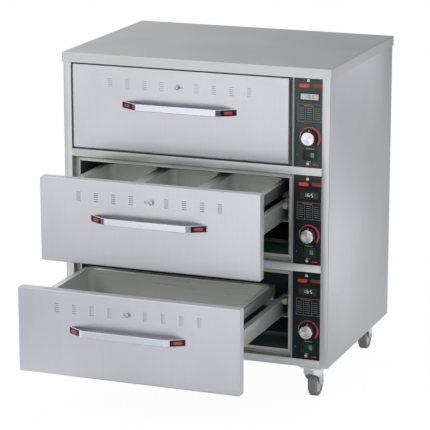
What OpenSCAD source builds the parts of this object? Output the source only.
// Free-standing food warmer: a sheet-steel cabinet on four swivel casters with three
// roller-guided drawers, each with its own pans, vent slide, thermostat and switch.
// X runs along the front, Y from front to back, Z up. The origin is on the floor, under
// the middle of the whole object as it stands with two of its drawers pulled out.

/* [Cabinet] */
// Outer width of the cabinet body
body_w = 742; // [742:2:800]
// Depth of the cabinet body from face frame to back panel
body_d = 550; // [540:2:620]
// Height from one drawer opening to the next
tier_pitch = 257.5; // [250:0.5:280]
// Thickness of the outer sheet panels
skin_t = 1.5; // [1:0.1:2]
// Height of the lip turned down round the top cover
lip_h = 26; // [20:1:28]
// How far the top cover stands out past each side panel
cover_over = 3.5; // [2.5:0.5:8]

/* [Face frame] */
// Width of the upright stile at each side
stile_w = 20; // [16:1:24]
// Height of the rails between the drawer openings
rail_h = 20; // [18:1:26]
// Width of the control plates
control_w = 76; // [74:1:90]
// Width of the mullion between drawers and controls
mullion_w = 4; // [4:0.5:12]
// Depth of the recess that a drawer front closes into
recess_d = 21; // [19:0.5:26]

/* [Cavity] */
// Height of the inner frame strip under and over each opening
sill_h = 16; // [14:0.5:18]
// Width of the inner frame strip beside each opening
jamb_w = 14.3; // [13:0.1:16]
// Thickness of the cavity sheet
liner_t = 1.2; // [0.8:0.1:1.6]
// Space between the cavity and the back panel
back_gap = 34; // [30:1:44]
// Width of the black door gasket
gasket_w = 8.5; // [8:0.5:10]
// Thickness of the black door gasket
gasket_t = 3; // [2:0.5:5]

/* [Drawers] */
// Gap beside a closed drawer front
front_side_gap = 7.5; // [5:0.5:7.5]
// Gap under a closed drawer front
front_low_gap = 6.5; // [4:0.5:7.5]
// Gap over a closed drawer front
front_top_gap = 7.5; // [6:0.5:8]
// Thickness of the folded drawer front
front_t = 24; // [20:1:28]
// Corner radius of the drawer front
front_r = 4; // [3:0.5:9]
// Sheet thickness of the drawer front
front_sheet = 1.5; // [1:0.1:1.8]
// How far the lower drawer is pulled out
open_lower = 358; // [220:1:420]
// How far the middle drawer is pulled out
open_middle = 213; // [0:1:360]
// How far the upper drawer is pulled out
open_upper = 0; // [0:1:200]

/* [Drawer slides] */
// Height of the drawer rail
rail_web_h = 58; // [52:1:62]
// Level of the drawer rail's top over the front's lower edge
rail_top = 150; // [147:1:152]
// Distance of the drawer rail's web from the cavity wall
rail_inset = 25.7; // [25:0.1:28]
// Width of the drawer rail's top flange
rail_flange = 17; // [15:0.5:18]
// Sheet thickness of rails and channels
rail_t = 1.5; // [1.2:0.1:2]
// Length of the drawer rail
rail_len = 456; // [450:1:466]
// Height of the fixed channel
channel_h = 59; // [58:1:66]
// Level of the fixed channel's top over the front's lower edge
channel_top = 156; // [155:1:160]
// Radius of the nylon rollers
roller_r = 11; // [9:0.5:11.5]
// Width of the nylon rollers
roller_w = 12; // [10:0.5:12.5]
// Radius of the roller pins
pin_r = 4; // [3:0.25:5]

/* [Pans] */
// Level of the pan rims over the front's lower edge
pan_level = 192; // [188:1:196]
// Rim width of a full-size pan
pan_w = 530; // [520:1:531]
// Rim depth of a pan, front to back
pan_d = 325; // [300:1:325]
// Depth of the full-size pans
pan_deep = 100; // [65:1:150]
// Depth of the three small pans
pan_shallow = 100; // [65:1:150]
// Width of the pan rim
pan_rim = 15; // [14:0.5:17]
// Sheet thickness of the pans
pan_t = 1.2; // [0.8:0.1:1.5]
// Depth of the pan frame
pan_frame_d = 332; // [328:1:336]

/* [Handles] */
// Length of a drawer handle from foot to foot
handle_len = 320; // [304:2:400]
// Length of the handle's straight grip
grip_len = 222; // [180:2:250]
// How far the handle stands out
handle_out = 30; // [24:1:34]
// Height of the handle strip
handle_h = 18; // [15:1:30]
// Thickness of the handle strip
handle_t = 4; // [3:0.5:5]
// Level of the handle over the front's lower edge
handle_z = 124.5; // [90:0.5:130]
// Length of the black inlays on the handle's slopes
inlay_len = 40; // [20:1:44]

/* [Vents] */
// Distance between two groups of vent slots
vent_pitch = 48.5; // [44:0.5:52]
// Groups of slots on each side of the vent knob
vent_groups = 4; // [2:1:4]
// Slots in a group
vent_rows = 5; // [3:2:5]
// Distance between two slots of a group
slot_pitch = 5.3; // [4.5:0.1:6]
// Length of a slot
slot_w = 12; // [8:0.5:12]
// Height of a slot
slot_h = 1.4; // [1:0.1:3]
// Level of the vents below the front's upper edge
vent_drop = 44; // [38:1:50]
// How far the vent slide moves from end to end
vent_travel = 16; // [14:1:18]
// Radius of the vent knob
vent_knob_r = 6.5; // [6:0.5:10]

/* [Controls] */
// Thickness of the control plates
plate_t = 1.6; // [1.2:0.1:2]
// Sideways place of the dial from the middle of the plate
dial_x = 5; // [0:1:8]
// Level of the dial over the foot of the plate
dial_z = 79; // [72:1:84]
// Radius of the thermostat knob's cap
knob_r = 17.5; // [14:0.5:19]
// Radius of the knob's black skirt
skirt_r = 21; // [19.5:0.5:23]
// How far the knob stands out of the plate
knob_out = 21; // [17:1:26]
// Radius of the thermostat shaft
shaft_r = 3; // [2.5:0.25:3.5]
// Level of the switch over the foot of the plate
switch_z = 33; // [30:1:36]
// Width of the switch rocker
rocker_w = 29; // [24:1:32]
// Height of the switch rocker
rocker_h = 16; // [13:1:18]
// How far the rocker swings from one side to the other
rocker_swing = 14; // [10:1:18]
// Level of the display over the foot of the plate
display_z = 185; // [180:1:192]
// Width of the display window
display_w = 50; // [40:1:54]
// Height of the display window
display_h = 17; // [13:1:20]

/* [Casters] */
// Height of the casters, floor to cabinet
caster_h = 94; // [92:1:100]
// Radius of the wheels
wheel_r = 38; // [34:0.5:39]
// Width of the wheels
wheel_w = 25; // [20:1:26]
// Distance from swivel axis to axle
caster_trail = 22; // [18:1:26]
// Sideways distance of the swivel axes from the inner face of the stiles
caster_in = 27.5; // [27:0.5:60]
// Distance of the front swivel axes from the front
caster_front = 35; // [34:1:60]
// Distance of the rear swivel axes from the back
caster_back = 69; // [60:1:110]
// Angle that the front casters stand at
swivel_front = 3; // [-30:0.5:30]
// Angle that the rear casters stand at
swivel_rear = 4.5; // [-30:0.5:30]
// Radius of the kingpin
kingpin_r = 6; // [4:0.5:7]
// Radius of the axle
axle_r = 4; // [3:0.5:5]

/* [Hidden] */
$fn = 48;
seat = 0.3;          // running gap between a roller and its track, and over a folded sheet
fit = 0.06;          // radial gap of a pin in its bore
seam = 0.1;          // parting line between two sheets of one sub-part
lap = 1;             // how far a cutting shape runs past what it cuts

body_h = rail_h + 3 * tier_pitch;
half_w = body_w / 2;
stile_in = half_w - skin_t - stile_w;
control_l = stile_in - control_w;
recess_l = -stile_in;
recess_r = control_l - mullion_w;
recess_w = recess_r - recess_l;
recess_h = tier_pitch - rail_h;
recess_x = (recess_l + recess_r) / 2;
opening_w = recess_w - 2 * jamb_w;
opening_h = recess_h - 2 * sill_h;
cavity_y = recess_d + liner_t;
cavity_back = body_d - back_gap;

front_w = recess_w - 2 * front_side_gap;
front_h = recess_h - front_low_gap - front_top_gap;
closed_y = recess_d - gasket_t - seat - front_t;
pulled = [open_lower, open_middle, open_upper];
handle_front = closed_y - max(pulled) - handle_out;
back_y = body_d + skin_t;
middle_y = (handle_front + back_y) / 2;

vent_z = front_h - vent_drop;
vent_half = vent_travel / 2;
vent_rest = [0, vent_half, -0.7 * vent_half];
vent_plate_t = 1.2;
vent_plate_h = (vent_rows - 1) * slot_pitch + slot_h + 10;
vent_plate_w = 2 * (vent_groups * vent_pitch + slot_w / 2 + vent_half + 4);
stem_r = 3;

rail_x = opening_w / 2 - rail_inset;
rail_z = rail_top - rail_web_h;
channel_z = channel_top - channel_h;
channel_x = opening_w / 2 - rail_t;
track_top = channel_z + rail_t;
flange_under = rail_top - rail_t;
fixed_roller_y = recess_d + 20;
fixed_roller_z = flange_under - seat - roller_r;
drawer_roller_y = front_t + rail_len - roller_r - 1;
drawer_roller_z = track_top + seat + roller_r;
collar_w = 1.7;
head_t = 1.5;
head_r = pin_r + 2.2;

pan_frame_t = 1.5;
pan_frame_w = 2 * rail_x - 1;
pan_frame_drop = 27;
pan_frame_y = front_t;
pan_rim_t = 1.5;
pan_y = pan_frame_y + (pan_frame_d - pan_d) / 2;
bracket_d = 20;
pan_corner_r = 22;

handle_rise = handle_out;
slope_run = (handle_len - grip_len) / 2;
slope_len = sqrt(slope_run * slope_run + handle_rise * handle_rise);
slope_angle = atan2(handle_rise, slope_run);
inlay_t = 0.8;
inlay_h = handle_h - 2.4;
inlay_foot = 3;
stud_r = 2.5;
stud_x = handle_len / 2 - slope_run / 2;
inlay_mid = (inlay_foot + inlay_len / 2) / slope_len;

control_x = (control_l + stile_in) / 2;
plate_y = 0.8;
plate_back = plate_y + plate_t;
bushing_r = shaft_r + 2.5;
stat_size = 36;
stat_deep = 38;
bulb_len = 90;
screw_r = 2;
screw_head_r = 4;
screw_inset = 10;
bezel_rim = 3.5;
bezel_t = 2;
pocket_d = 12;
rocker_t = 7;
rocker_pin_r = 1.25;
rocker_pin_l = 1.6;

axle_z = wheel_r - caster_h;
caster_x = stile_in - caster_in;
caster_rear = body_d - caster_back;
plate_w = 62;
plate_d = 68;
mount_plate_t = 3;
mount_bolt_x = 20;
mount_bolt_y = 26;
mount_bolt_r = 4;
nut_room = 8;
raceway_r = 25;
raceway_h = 7;
fork_t = 2.5;
fork_gap = 2;
fork_in = wheel_w / 2 + fork_gap;
fork_top = -mount_plate_t - raceway_h;
crown_h = caster_h - 2 * wheel_r - mount_plate_t - raceway_h - 2;

element_r = 4;
element_lift = 6;
element_pitch = 100;
element_front = 190;
rib_y = 129;
rib_h = 16;
rib_lip = 8;
element_back = cavity_back - 86;
element_foot_in = 40;
screw_pitch = 4;
floor_t = 2;
wiring_gap = 6;
// each caster's place: side, distance from the front, standing angle
CASTERS = [[1, caster_front, swivel_front], [-1, caster_front, swivel_front],
           [1, caster_rear, swivel_rear], [-1, caster_rear, swivel_rear]];
TIERS = [0, 1, 2];

function tier_z(i) = rail_h + i * tier_pitch;
function drawer_z(i) = tier_z(i) + front_low_gap;
function vent_columns() = [for (k = [-vent_groups : vent_groups]) if (k != 0) k * vent_pitch];

// ---- placing ------------------------------------------------------------------

// cabinet frame: X from the middle, Y from the face frame, Z from the cabinet's underside
module on_floor() {
    translate([0, -middle_y, caster_h]) children();
}

// drawer frame: X from the drawer's middle, Y from its front face, Z from its lower edge
module in_drawer(i) {
    on_floor() translate([recess_x, closed_y - pulled[i], drawer_z(i)]) children();
}

// control frame: X from the plate's middle, Y from its face, Z from its foot
module in_controls(i) {
    on_floor() translate([control_x, plate_y, tier_z(i)]) children();
}

// ---- shapes that repeat ---------------------------------------------------------

// box from one corner to the other
module block(low, high) {
    translate(low) cube(high - low);
}

// rectangle with round corners, centred
module rounded(w, h, r) {
    square([w - 2 * r, h], center = true);
    square([w, h - 2 * r], center = true);
    for (x = [-1, 1], y = [-1, 1]) {
        translate([x * (w / 2 - r), y * (h / 2 - r)]) circle(r);
    }
}

// upright sheet with round corners: middle of its foot at the origin, t thick along +Y
module upright(w, h, t, r) {
    translate([0, t, h / 2]) rotate([90, 0, 0]) linear_extrude(t) rounded(w, h, r);
}

// round bar along X, from x = 0 to x = l
module bar_x(r, l) {
    rotate([0, 90, 0]) cylinder(r = r, h = l);
}

// round bar along Y, from y = 0 to y = l
module bar_y(r, l) {
    rotate([-90, 0, 0]) cylinder(r = r, h = l);
}

// folded sheet channel, open at the back: face w by h, sides d deep
module folded_bar(w, h, d) {
    difference() {
        cube([w, d, h]);
        if (h > w) translate([skin_t, skin_t, -lap]) cube([w - 2 * skin_t, d, h + 2 * lap]);
        if (h <= w) translate([-lap, skin_t, skin_t]) cube([w + 2 * lap, d, h - 2 * skin_t]);
    }
}

// nylon roller on the X axis, its left face at x = 0
module roller() {
    difference() {
        bar_x(roller_r, roller_w);
        translate([-lap, 0, 0]) bar_x(pin_r + fit, roller_w + 2 * lap);
    }
}

// roller pin with collar and head, from x = 0 to beyond a roller whose far face is at reach
module roller_pin(reach) {
    bar_x(pin_r + 2, reach - roller_w - seat);
    bar_x(pin_r, reach + seat + head_t);
    translate([reach + seat, 0, 0]) bar_x(head_r, head_t);
}

// ---- cabinet ----------------------------------------------------------------------

module top_cover() {
    out = half_w + cover_over;
    color("lightsteelblue") on_floor() difference() {
        block([-out, -skin_t, body_h + skin_t - lip_h], [out, back_y, body_h + skin_t]);
        block([-out + skin_t, 0, body_h - lip_h], [out - skin_t, body_d, body_h]);
    }
}

module side_panel(side) {
    color("gainsboro") on_floor() translate([side > 0 ? half_w - skin_t : -half_w, 0, 0])
        cube([skin_t, body_d - skin_t, body_h]);
}

module left_side_panel() {
    side_panel(-1);
}

module right_side_panel() {
    side_panel(1);
}

module back_panel() {
    color("silver") on_floor() difference() {
        block([-half_w, body_d - skin_t, 0], [half_w, body_d, body_h]);
        translate([gland_x(), body_d - skin_t - lap, gland_z()]) bar_y(gland_r() + 0.2, skin_t + 2 * lap);
        for (p = back_screw_places()) {
            translate([p[0], body_d - skin_t - lap, p[1]]) bar_y(screw_r + 0.1, skin_t + 2 * lap);
        }
    }
}

function gland_x() = control_x;
function gland_z() = 60;
function gland_r() = 10;
function back_screw_places() = [for (x = [-1, 1], z = [0.1, 0.37, 0.63, 0.9])
    [x * (half_w - skin_t - stile_w / 2), z * body_h]];

module bottom_panel() {
    inner = half_w - skin_t;
    color("silver") on_floor() difference() {
        block([-inner, recess_d, 0], [inner, body_d - skin_t, floor_t]);
        caster_bolt_holes();
    }
}

// two stiles, the back posts, the rails and a mullion beside each drawer
module face_frame() {
    inner = half_w - skin_t;
    color("lightgray") on_floor() difference() {
        union() {
            translate([-inner, 0, 0]) folded_bar(stile_w, body_h, recess_d);
            translate([stile_in, 0, 0]) folded_bar(stile_w, body_h, recess_d);
            for (x = [-inner, stile_in]) {
                block([x, body_d - skin_t - stile_w, floor_t], [x + stile_w, body_d - skin_t, body_h]);
            }
            for (i = [0 : 3]) translate([recess_l + seam, 0, i * tier_pitch]) {
                folded_bar(stile_in - recess_l - 2 * seam, rail_h, recess_d);
            }
            for (i = TIERS) {
                translate([recess_r, 0, tier_z(i) + seam]) folded_bar(mullion_w, recess_h - 2 * seam, recess_d);
                for (z = [screw_inset, recess_h - screw_inset]) screw_tab(i, z);
            }
        }
        caster_bolt_holes();
        back_screw_holes();
    }
}

// tab behind the control plate that a panel screw goes into
module screw_tab(i, z) {
    translate([control_x, plate_back, tier_z(i) + z]) difference() {
        block([-9, 0, seam - screw_inset], [9, 2.5, screw_inset - seam]);
        translate([0, -lap, 0]) bar_y(screw_r, 2.5 + 2 * lap);
    }
}

// holes for the bolts of the four caster plates
module caster_bolt_holes() {
    for (c = CASTERS) translate([c[0] * caster_x, c[1], -lap]) at_plate_bolts() {
        cylinder(r = mount_bolt_r + 0.1, h = floor_t + 2 * lap);
    }
}

// places of the four bolts of a caster plate
module at_plate_bolts() {
    for (x = [-1, 1], y = [-1, 1]) translate([x * mount_bolt_x, y * mount_bolt_y, 0]) children();
}

// holes in the back posts for the screws of the back panel
module back_screw_holes() {
    for (p = back_screw_places()) {
        translate([p[0], body_d - skin_t - 12, p[1]]) bar_y(screw_r, 12 + lap);
    }
}

// sheet walls of the three heated cavities, the inner frame round each mouth, and a low
// folded rib over each floor that keeps spills off the element
module cavity_liners() {
    w = opening_w / 2;
    g = recess_w / 2;
    z0 = sill_h;
    z1 = recess_h - sill_h;
    y0 = cavity_y + seam;
    y1 = cavity_back - seam;
    color("dimgray") on_floor() for (i = TIERS) translate([recess_x, 0, tier_z(i)]) {
        block([-w - liner_t, y0, z0 - liner_t], [w + liner_t, y1, z0]);
        block([-w - liner_t, y0, z1], [w + liner_t, y1, z1 + liner_t]);
        block([-w - liner_t, y0, z0 + seam], [-w, y1, z1 - seam]);
        block([w, y0, z0 + seam], [w + liner_t, y1, z1 - seam]);
        block([-w + seam, rib_y, z0 + seam], [w - seam, rib_y + liner_t, z0 + rib_h - liner_t]);
        block([-w + seam, rib_y, z0 + rib_h - liner_t], [w - seam, rib_y + rib_lip, z0 + rib_h]);
        difference() {
            block([-w - liner_t, cavity_back, z0 - liner_t], [w + liner_t, cavity_back + liner_t, z1 + liner_t]);
            for (x = [-1.5, 1.5]) translate([x * element_pitch, cavity_back - lap, z0 + element_lift + element_r])
                bar_y(element_r + 0.2, liner_t + 2 * lap);
            translate([0, cavity_back - lap, bulb_z()]) bar_y(2, liner_t + 2 * lap);
        }
        block([-g, recess_d, 0], [-w, cavity_y, recess_h]);
        block([w, recess_d, 0], [g, cavity_y, recess_h]);
        block([-w + seam, recess_d, 0], [w - seam, cavity_y, z0]);
        block([-w + seam, recess_d, z1], [w - seam, cavity_y, recess_h]);
    }
}

// black seal round each mouth, against which the drawer front closes
module door_gaskets() {
    w = recess_w / 2;
    g = gasket_w;
    color("black") on_floor() for (i = TIERS) translate([recess_x, recess_d - gasket_t, tier_z(i)]) {
        block([-w, 0, 0], [-w + g, gasket_t, recess_h]);
        block([w - g, 0, 0], [w, gasket_t, recess_h]);
        block([-w + g + seam, 0, 0], [w - g - seam, gasket_t, g]);
        block([-w + g + seam, 0, recess_h - g], [w - g - seam, gasket_t, recess_h]);
    }
}

// glass-fibre batts between the cavities and the outer panels
module insulation_batts() {
    left = -half_w + skin_t;
    wall_l = recess_x - opening_w / 2 - liner_t;
    wall_r = recess_x + opening_w / 2 + liner_t;
    batt_r = recess_r + 2;
    deep = cavity_back + liner_t;
    foot = floor_t + nut_room;
    color("khaki") on_floor() {
        block([left, cavity_y, foot], [wall_l - seam, deep, body_h]);
        block([wall_l, cavity_y, foot], [wall_r, deep, tier_z(0) + sill_h - liner_t]);
        for (i = [0, 1]) {
            block([wall_l, cavity_y, tier_z(i) + recess_h - sill_h + liner_t],
                  [wall_r, deep, tier_z(i + 1) + sill_h - liner_t]);
        }
        block([wall_l, cavity_y, tier_z(2) + recess_h - sill_h + liner_t], [wall_r, deep, body_h]);
        block([wall_r + seam, cavity_y, foot], [batt_r, deep, body_h]);
        block([left + stile_w, deep + wiring_gap, foot], [batt_r, body_d - skin_t, body_h]);
    }
}

// C-shaped channels on the cavity walls, with the pins that carry the front rollers
module fixed_channels() {
    color("silver") on_floor() for (i = TIERS, side = [-1, 1]) {
        translate([recess_x, 0, drawer_z(i)]) mirror([side > 0 ? 0 : 1, 0, 0]) {
            x = channel_x - seam;
            y1 = cavity_back - 2;
            block([rail_x + rail_t + 1, cavity_y, channel_z], [x, y1, track_top]);
            block([channel_x, cavity_y, channel_z], [channel_x + rail_t, y1, channel_top]);
            block([channel_x - 11, cavity_y, channel_top - rail_t], [x, y1, channel_top]);
            translate([x, fixed_roller_y, fixed_roller_z]) mirror([1, 0, 0])
                roller_pin(fixed_reach() - seam);
        }
    }
}

// distance from the channel's web to the far face of the fixed roller
function fixed_reach() = channel_x - (rail_x + rail_t + 3);

module control_plates() {
    color([0.17, 0.21, 0.21]) for (i = TIERS) in_controls(i) difference() {
        translate([-control_w / 2, 0, 0]) cube([control_w, plate_t, recess_h]);
        for (z = [screw_inset, recess_h - screw_inset]) translate([0, -lap, z])
            bar_y(screw_r + 0.1, plate_t + 2 * lap);
        translate([dial_x, -lap, dial_z]) bar_y(bushing_r + 0.1, plate_t + 2 * lap);
        translate([dial_x - rocker_w / 2 - 1.2, -lap, switch_z - rocker_h / 2 - 1.2])
            cube([rocker_w + 2.4, plate_t + 2 * lap, rocker_h + 2.4]);
        translate([dial_x - 2 - display_w / 2, -lap, display_z - display_h / 2])
            cube([display_w, plate_t + 2 * lap, display_h]);
    }
}

// display module seated in the plate's window, its case behind the plate
module display_windows() {
    color([0.55, 0.58, 0.58]) for (i = TIERS) in_controls(i) translate([dial_x - 2, 0, display_z]) {
        block([-display_w / 2, 0.3, -display_h / 2], [display_w / 2, plate_t, display_h / 2]);
        block([-display_w / 2 - 3, plate_t, -display_h / 2 - 3], [display_w / 2 + 3, plate_t + 14, display_h / 2 + 3]);
    }
}

// pan-head screw along Y: head in front, shank length l
module panel_screw(l) {
    translate([0, -1.4, 0]) bar_y(screw_head_r, 1.4);
    bar_y(screw_r, l);
}

module panel_screws() {
    color("whitesmoke") {
        for (i = TIERS, z = [screw_inset, recess_h - screw_inset]) in_controls(i)
            translate([0, 0, z]) panel_screw(plate_t + 4);
        on_floor() for (p = back_screw_places()) translate([p[0], body_d, p[1]])
            mirror([0, 1, 0]) panel_screw(skin_t + 11);
    }
}

// thermostat case behind each plate, with its threaded bushing and nut
module thermostats() {
    color("tan") for (i = TIERS) in_controls(i) translate([dial_x, 0, dial_z]) difference() {
        union() {
            block([-stat_size / 2, plate_t, -stat_size / 2], [stat_size / 2, plate_t + stat_deep, stat_size / 2]);
            translate([0, -2.2, 0]) bar_y(bushing_r, plate_t + 3);
            translate([0, -2, 0]) bar_y(bushing_r + 2, 2);
        }
        translate([0, -3, 0]) bar_y(shaft_r + fit, 20);
    }
}

// switch case snapped into each plate: bezel in front, pocket for the rocker
module switch_housings() {
    ow = rocker_w / 2 + 1.1;
    oh = rocker_h / 2 + 1.1;
    color([0.1, 0.1, 0.1]) for (i = TIERS) in_controls(i) translate([dial_x, 0, switch_z]) difference() {
        union() {
            block([-ow - bezel_rim, -bezel_t, -oh - bezel_rim], [ow + bezel_rim, 0, oh + bezel_rim]);
            block([-ow, -bezel_t, -oh], [ow, pocket_d + 10, oh]);
        }
        block([-rocker_w / 2 - 0.4, -bezel_t - lap, -rocker_h / 2 - 0.3], [rocker_w / 2 + 0.4, pocket_d, rocker_h / 2 + 0.3]);
        translate([0, rocker_t / 2, -oh]) cylinder(r = rocker_pin_r + fit, h = 2 * oh);
    }
}

// sheathed element looped over the floor of each cavity, on four feet
module heating_elements() {
    color("gray") on_floor() for (i = TIERS) translate([recess_x, 0, tier_z(i) + sill_h + element_lift + element_r]) {
        for (x = [-0.5, 0.5]) translate([x * element_pitch, element_front, 0]) bar_y(element_r, element_back - element_front);
        for (x = [-1.5, 1.5]) translate([x * element_pitch, element_front, 0])
            bar_y(element_r, cavity_back + 4 - element_front);
        for (x = [-1, 1]) translate([x * element_pitch, element_front, 0]) mirror([0, 1, 0]) half_loop();
        translate([0, element_back, 0]) half_loop();
        for (x = [-1.5, 1.5], y = [element_front + element_foot_in, element_back - element_foot_in]) {
            block([x * element_pitch - 6, y, -element_r - element_lift], [x * element_pitch + 6, y + 14, 0]);
        }
    }
}

// half ring that joins two legs of an element, on its +Y side
module half_loop() {
    rotate_extrude(angle = 180) translate([element_pitch / 2, 0]) circle(element_r);
}

function bulb_z() = 0.66 * recess_h;

// thermostat sensing bulb on the back wall of each cavity
module sensor_bulbs() {
    color("peru") on_floor() for (i = TIERS) translate([recess_x, cavity_back, tier_z(i) + bulb_z()]) {
        translate([-bulb_len / 2, -9, 0]) bar_x(3, bulb_len);
        for (x = [-1, 1]) translate([x * bulb_len / 3, 0, 0]) block([-3, -9, -2], [3, 0, 2]);
        translate([0, -9, 0]) bar_y(1.5, 9 + liner_t + 2);
    }
}

// caster mounting plates with their upper raceways, kingpins and bolts
module caster_plates() {
    color("silver") on_floor() for (c = CASTERS) translate([c[0] * caster_x, c[1], 0]) {
        difference() {
            union() {
                block([-plate_w / 2, -plate_d / 2, -mount_plate_t], [plate_w / 2, plate_d / 2, 0]);
                translate([0, 0, fork_top + 3]) cylinder(r = raceway_r - 4, h = -fork_top - 3);
            }
            at_plate_bolts() translate([0, 0, -lap - mount_plate_t])
                cylinder(r = mount_bolt_r + 0.1, h = mount_plate_t + 2 * lap);
        }
        translate([0, 0, fork_top - crown_h - 1]) cylinder(r = kingpin_r, h = crown_h + 4);
        translate([0, 0, fork_top - crown_h - seat - 2]) cylinder(r = kingpin_r + 2.5, h = 2);
        at_plate_bolts() {
            translate([0, 0, -mount_plate_t]) cylinder(r = mount_bolt_r, h = mount_plate_t + floor_t + 5);
            translate([0, 0, -mount_plate_t - 3]) cylinder(r = mount_bolt_r + 2.2, h = 3);
            translate([0, 0, floor_t]) cylinder(r = mount_bolt_r + 2.5, h = 4);
        }
    }
}

// cable gland in the back panel, where the supply enters
module power_gland() {
    color([0.15, 0.15, 0.15]) on_floor() translate([gland_x(), body_d, gland_z()]) difference() {
        union() {
            translate([0, -14, 0]) bar_y(gland_r(), 14);
            bar_y(gland_r() + 4, 1.4);
            translate([0, -skin_t - 4, 0]) bar_y(gland_r() + 4, 4);
        }
        translate([0, -14 - lap, 0]) bar_y(6, 16 + 2 * lap);
    }
}

// ---- drawers ------------------------------------------------------------------------

// all vent slots, cut t deep from y = 0
module vent_slots(t) {
    rows = (vent_rows - 1) / 2;
    for (x = vent_columns(), k = [-rows : rows]) {
        translate([x - slot_w / 2, -lap, vent_z + k * slot_pitch - slot_h / 2])
            cube([slot_w, t + 2 * lap, slot_h]);
    }
}

// folded outer skin of a drawer front, with the guides that hold the vent slide
module drawer_front(i) {
    guide_l = vent_plate_w - 2 * vent_travel;
    t = front_sheet;
    color("gainsboro") in_drawer(i) {
        difference() {
            upright(front_w, front_h, front_t, front_r);
            translate([0, t, t]) upright(front_w - 2 * t, front_h - 2 * t, front_t, front_r - t);
            vent_slots(t);
            translate([-vent_half - stem_r - seat, -lap, vent_z - stem_r - seat])
                cube([vent_travel + 2 * (stem_r + seat), t + 2 * lap, 2 * (stem_r + seat)]);
            for (x = [-stud_x, stud_x]) translate([x, -lap, handle_z]) bar_y(stud_r + 0.1, t + 2 * lap);
        }
        for (side = [-1, 1]) translate([0, t, vent_z]) mirror([0, 0, side > 0 ? 0 : 1]) {
            edge = vent_plate_h / 2 + seat;
            block([-guide_l / 2, 0, edge], [guide_l / 2, vent_plate_t + 2 * seat, edge + 4]);
            block([-guide_l / 2, vent_plate_t + 2 * seat, edge - 3], [guide_l / 2, vent_plate_t + 2 * seat + 1.2, edge + 4]);
        }
    }
}

// flat panel that closes a drawer front towards the cavity
module inner_panel(i) {
    t = front_sheet;
    color("silver") in_drawer(i) difference() {
        translate([0, front_t - t, t + 0.1]) upright(front_w - 2 * t - 0.2, front_h - 2 * t - 0.2, t, front_r - t);
        for (x = vent_columns()) translate([x - slot_w / 2, front_t - t - lap, vent_z - 12])
            cube([slot_w, t + 2 * lap, 24]);
    }
}

// bent bridge handle on two studs, a black inlay on each slope
module handle(i) {
    over = handle_t / sin(slope_angle);
    turn = handle_t * tan(slope_angle / 2);
    half = handle_len / 2;
    grip = grip_len / 2;
    color("lightgray") in_drawer(i) translate([0, 0, handle_z]) {
        translate([0, 0, -handle_h / 2]) linear_extrude(handle_h) polygon([
            [-half, 0], [-grip, -handle_out], [grip, -handle_out], [half, 0],
            [half - over, 0], [grip - turn, -handle_out + handle_t],
            [-grip + turn, -handle_out + handle_t], [-half + over, 0]]);
        for (side = [-1, 1]) {
            translate([side * stud_x, -handle_out * (half - stud_x) / slope_run + handle_t, 0])
                bar_y(stud_r, handle_out / 2 - handle_t + front_sheet + 7);
            translate([side * stud_x, front_sheet, 0]) difference() {
                bar_y(stud_r + 2.5, 3.5);
                translate([0, -lap, 0]) bar_y(stud_r, 3.5 + 2 * lap);
            }
            translate([side * (half - inlay_mid * slope_run), -inlay_mid * handle_out, -inlay_h / 2])
                rotate([0, 0, side * slope_angle])
                translate([-inlay_len / 2, -inlay_t, 0]) cube([inlay_len, inlay_t, inlay_h]);
        }
    }
}

// two drawer rails with their roller pins, and the rear cross bar with its brackets
module drawer_rails(i) {
    bar_y1 = pan_frame_y + pan_frame_d + 10;
    x = rail_x - seam;
    color("silver") in_drawer(i) {
        for (side = [-1, 1]) mirror([side > 0 ? 0 : 1, 0, 0]) {
            block([rail_x, front_t, rail_z], [rail_x + rail_t, front_t + rail_len, rail_top]);
            block([rail_x + rail_t + seam, front_t, flange_under],
                  [rail_x + rail_flange, front_t + rail_len, rail_top]);
            block([rail_x - 15, front_t, rail_z], [x, front_t + rail_t, rail_top]);
            translate([rail_x + rail_t + seam, drawer_roller_y, drawer_roller_z])
                roller_pin(collar_w + seat + roller_w - seam);
            rear_bracket();
        }
        block([-x, bar_y1 - bracket_d, rail_top - rail_t], [x, bar_y1, rail_top]);
        block([-x, bar_y1 - rail_t, rail_top - 20], [x, bar_y1, rail_top - rail_t]);
    }
}

// upright plate with a hole, from the cross bar to the pan frame's rear corner
module rear_bracket() {
    y0 = pan_frame_y + pan_frame_d;
    x1 = pan_frame_w / 2 - 6;
    difference() {
        block([x1 - 38, y0, rail_top + seam], [x1, y0 + rail_t, pan_level - pan_rim_t]);
        translate([x1 - 8, y0 - lap, rail_top + 12]) bar_y(3.2, rail_t + 2 * lap);
    }
}

// four angle bars that make the frame the pans hang in
module pan_frame(i) {
    x = pan_frame_w / 2;
    y0 = pan_frame_y;
    y1 = pan_frame_y + pan_frame_d;
    z1 = pan_level - pan_rim_t;
    z0 = z1 - pan_frame_drop;
    t = pan_frame_t;
    x_in = pan_w / 2 - pan_rim + 3.5;
    y_in = pan_y + pan_rim - 7.5;
    color("silver") in_drawer(i) {
        for (side = [-1, 1]) mirror([side > 0 ? 0 : 1, 0, 0]) {
            block([x - t, y0, z0], [x, y1, z1]);
            block([x_in, y0 + t + seam, z1 - t], [x - t, y1 - t - seam, z1]);
        }
        for (front = [0, 1]) translate([0, front * (y0 + y1), 0]) mirror([0, front, 0]) {
            block([-x + t + seam, y0, z0], [x - t - seam, y0 + t, z1]);
            block([-x_in + seam, y0 + t, z1 - t], [x_in - seam, y_in, z1]);
        }
    }
}

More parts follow.
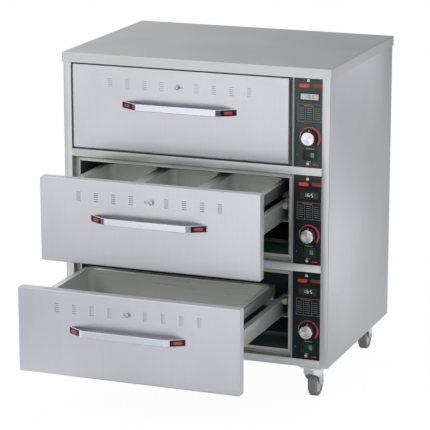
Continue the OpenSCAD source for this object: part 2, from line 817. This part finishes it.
// food pan with a flat rim, hung by it: middle of the rim's upper face at the origin
module food_pan(w, d, deep) {
    bw = w - 2 * pan_rim;
    bd = d - 2 * pan_rim;
    r = pan_corner_r;
    difference() {
        union() {
            translate([0, 0, -pan_rim_t]) linear_extrude(pan_rim_t) rounded(w, d, 10);
            translate([0, 0, -deep]) linear_extrude(deep - pan_rim_t) rounded(bw, bd, r);
        }
        translate([0, 0, -deep + pan_t]) linear_extrude(deep) rounded(bw - 2 * pan_t, bd - 2 * pan_t, r - pan_t);
    }
}

module full_pan(i) {
    color("lightgray") in_drawer(i) translate([0, pan_y + pan_d / 2, pan_level])
        food_pan(pan_w, pan_d, pan_deep);
}

module third_pans(i) {
    w = pan_w / 3;
    color("lightgray") in_drawer(i) for (k = [-1, 0, 1]) translate([k * w, pan_y + pan_d / 2, pan_level])
        food_pan(w - 0.4, pan_d, pan_shallow);
}

// slotted plate behind the vents, moved sideways by a knob
module vent_slide(i) {
    y0 = front_sheet + seat;
    color("gray") in_drawer(i) translate([vent_rest[i], 0, 0]) {
        difference() {
            translate([-vent_plate_w / 2, y0, vent_z - vent_plate_h / 2])
                cube([vent_plate_w, vent_plate_t, vent_plate_h]);
            translate([-vent_half, y0, 0]) vent_slots(vent_plate_t);
        }
        translate([0, -3, vent_z]) bar_y(stem_r, y0 + 3);
        translate([0, -seat - 6, vent_z]) bar_y(vent_knob_r, 6);
    }
}

// ---- moving parts ---------------------------------------------------------------------

module drawer_rollers(i) {
    color("ivory") in_drawer(i) for (side = [-1, 1]) mirror([side > 0 ? 0 : 1, 0, 0])
        translate([rail_x + rail_t + collar_w + seat, drawer_roller_y, drawer_roller_z]) roller();
}

module cabinet_rollers(i) {
    color("ivory") on_floor() for (side = [-1, 1]) translate([recess_x, 0, drawer_z(i)])
        mirror([side > 0 ? 0 : 1, 0, 0])
            translate([channel_x - fixed_reach(), fixed_roller_y, fixed_roller_z]) roller();
}

// thermostat knob: bright cap on a black skirt, with its shaft
module thermostat_knob(i) {
    color("whitesmoke") in_controls(i) translate([dial_x, 0, dial_z]) difference() {
        union() {
            translate([0, -8, 0]) bar_y(skirt_r, 8 - seat);
            translate([0, -knob_out, 0]) bar_y(knob_r, knob_out - 8);
            translate([0, -4, 0]) bar_y(shaft_r, 18);
        }
        difference() {
            translate([0, -3, 0]) bar_y(bushing_r + 3, 4);
            translate([0, -4, 0]) bar_y(shaft_r, 6);
        }
    }
}

// switch rocker, pressed in on its lit right-hand side, with its two pivot stubs
module rocker(i) {
    l = rocker_h / 2;
    color([0.08, 0.08, 0.08]) in_controls(i) translate([dial_x, rocker_t / 2, switch_z])
        rotate([0, 0, rocker_swing / 2]) {
            translate([0, 0, -l]) linear_extrude(rocker_h) polygon([
                [-rocker_w / 2 + 1, -rocker_t / 2 - 2], [0, -rocker_t / 2], [rocker_w / 2 - 1, -rocker_t / 2 - 2],
                [rocker_w / 2 - 2, rocker_t / 2], [-rocker_w / 2 + 2, rocker_t / 2]]);
            translate([0, 0, -l - 0.9]) cylinder(r = rocker_pin_r, h = rocker_h + 1.8);
        }
}

// ---- casters ----------------------------------------------------------------------------

// caster frame: swivel axis at the origin, underside of the cabinet at z = 0
module at_caster(k) {
    c = CASTERS[k];
    on_floor() translate([c[0] * caster_x, c[1], 0]) rotate([0, 0, c[2]]) children();
}

// pressed fork: raceway dome, two legs down to the axle, and the axle with its nut
module caster_fork(k) {
    outer = fork_in + fork_t;
    color("lightsteelblue") at_caster(k) {
        difference() {
            union() {
                translate([0, 0, fork_top]) cylinder(r = raceway_r, h = raceway_h - seat);
                translate([0, 0, fork_top - crown_h]) cylinder(r = raceway_r + 1, h = crown_h);
            }
            translate([0, 0, fork_top + 3 - seat]) cylinder(r = raceway_r - 4 + seat, h = raceway_h);
            translate([0, 0, fork_top - crown_h - lap]) cylinder(r = kingpin_r + fit, h = crown_h + raceway_h);
        }
        for (s = [-1, 1]) mirror([s > 0 ? 0 : 1, 0, 0]) translate([fork_in, 0, 0]) fork_leg();
        translate([-outer - 2, caster_trail, axle_z]) bar_x(axle_r, 2 * outer + 4);
        for (x = [-outer - 4, outer]) translate([x, caster_trail, axle_z]) bar_x(axle_r + 2.5, 4);
    }
}

// side plate of the fork, from the crown down and back to the axle
module fork_leg() {
    rotate([90, 0, 90]) linear_extrude(fork_t) polygon([
        [-18, fork_top], [22, fork_top], [caster_trail + 9, axle_z + 6], [caster_trail + 7, axle_z - 7],
        [caster_trail - 7, axle_z - 7], [-16, fork_top - crown_h - 6]]);
}

// rubber tyre on a hub that turns on the axle
module caster_wheel(k) {
    hub_r = wheel_r - 11;
    color("dimgray") at_caster(k) translate([-wheel_w / 2, caster_trail, axle_z]) {
        difference() {
            bar_x(wheel_r, wheel_w);
            translate([-lap, 0, 0]) bar_x(hub_r, wheel_w + 2 * lap);
        }
        difference() {
            union() {
                translate([3, 0, 0]) bar_x(hub_r, wheel_w - 6);
                translate([-fork_gap + 0.4, 0, 0]) bar_x(axle_r + 4, wheel_w + 2 * fork_gap - 0.8);
            }
            translate([-5, 0, 0]) bar_x(axle_r + fit, wheel_w + 10);
        }
    }
}

module lower_drawer_front() { drawer_front(0); }
module middle_drawer_front() { drawer_front(1); }
module upper_drawer_front() { drawer_front(2); }
module lower_inner_panel() { inner_panel(0); }
module middle_inner_panel() { inner_panel(1); }
module upper_inner_panel() { inner_panel(2); }
module lower_handle() { handle(0); }
module middle_handle() { handle(1); }
module upper_handle() { handle(2); }
module lower_drawer_rails() { drawer_rails(0); }
module middle_drawer_rails() { drawer_rails(1); }
module upper_drawer_rails() { drawer_rails(2); }
module lower_pan_frame() { pan_frame(0); }
module middle_pan_frame() { pan_frame(1); }
module upper_pan_frame() { pan_frame(2); }
module lower_pan() { full_pan(0); }
module middle_pans() { third_pans(1); }
module upper_pan() { full_pan(2); }
module lower_vent_slide() { vent_slide(0); }
module middle_vent_slide() { vent_slide(1); }
module upper_vent_slide() { vent_slide(2); }
module lower_drawer_rollers() { drawer_rollers(0); }
module middle_drawer_rollers() { drawer_rollers(1); }
module upper_drawer_rollers() { drawer_rollers(2); }
module lower_cabinet_rollers() { cabinet_rollers(0); }
module middle_cabinet_rollers() { cabinet_rollers(1); }
module upper_cabinet_rollers() { cabinet_rollers(2); }
module lower_thermostat_knob() { thermostat_knob(0); }
module middle_thermostat_knob() { thermostat_knob(1); }
module upper_thermostat_knob() { thermostat_knob(2); }
module lower_rocker() { rocker(0); }
module middle_rocker() { rocker(1); }
module upper_rocker() { rocker(2); }
module front_right_fork() { caster_fork(0); }
module front_left_fork() { caster_fork(1); }
module rear_right_fork() { caster_fork(2); }
module rear_left_fork() { caster_fork(3); }
module front_right_wheel() { caster_wheel(0); }
module front_left_wheel() { caster_wheel(1); }
module rear_right_wheel() { caster_wheel(2); }
module rear_left_wheel() { caster_wheel(3); }

top_cover();
left_side_panel();
right_side_panel();
back_panel();
bottom_panel();
face_frame();
cavity_liners();
door_gaskets();
insulation_batts();
fixed_channels();
control_plates();
display_windows();
panel_screws();
thermostats();
switch_housings();
heating_elements();
sensor_bulbs();
caster_plates();
power_gland();
lower_drawer_front();
middle_drawer_front();
upper_drawer_front();
lower_inner_panel();
middle_inner_panel();
upper_inner_panel();
lower_handle();
middle_handle();
upper_handle();
lower_drawer_rails();
middle_drawer_rails();
upper_drawer_rails();
lower_pan_frame();
middle_pan_frame();
upper_pan_frame();
lower_pan();
middle_pans();
upper_pan();
lower_vent_slide();
middle_vent_slide();
upper_vent_slide();
lower_drawer_rollers();
middle_drawer_rollers();
upper_drawer_rollers();
lower_cabinet_rollers();
middle_cabinet_rollers();
upper_cabinet_rollers();
lower_thermostat_knob();
middle_thermostat_knob();
upper_thermostat_knob();
lower_rocker();
middle_rocker();
upper_rocker();
front_right_fork();
front_left_fork();
rear_right_fork();
rear_left_fork();
front_right_wheel();
front_left_wheel();
rear_right_wheel();
rear_left_wheel();
